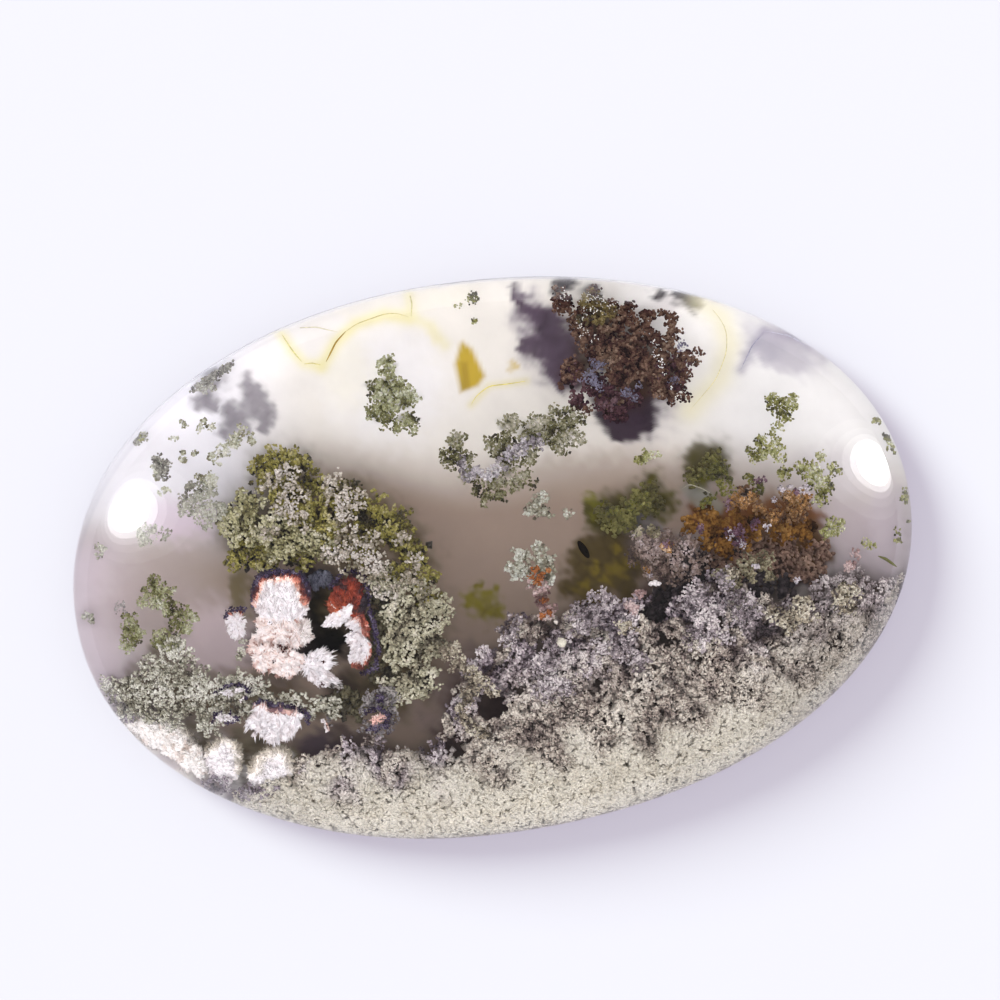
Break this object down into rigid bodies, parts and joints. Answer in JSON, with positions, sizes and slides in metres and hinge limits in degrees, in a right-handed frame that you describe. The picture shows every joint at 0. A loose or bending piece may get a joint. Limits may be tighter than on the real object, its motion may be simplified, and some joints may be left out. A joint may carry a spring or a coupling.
{
  "type": "moss agate cabochon",
  "caption": "Polished oval moss agate with a flat back, a narrow girdle and a low dome, loose and unset.",
  "frame": {"origin": "middle of the flat back, on the surface that the stone lies on", "axes": "+X along the oval's length, +Y across it, +Z out of the dome, away from the back"},
  "size_m": [0.042, 0.0278, 0.007],
  "materials": {
    "agate": "polished translucent chalcedony, cream to taupe, with green, brown and white moss inclusions"
  },
  "bodies": {
    "root": {"cabochon": "agate"}
  },
  "joints": []
}
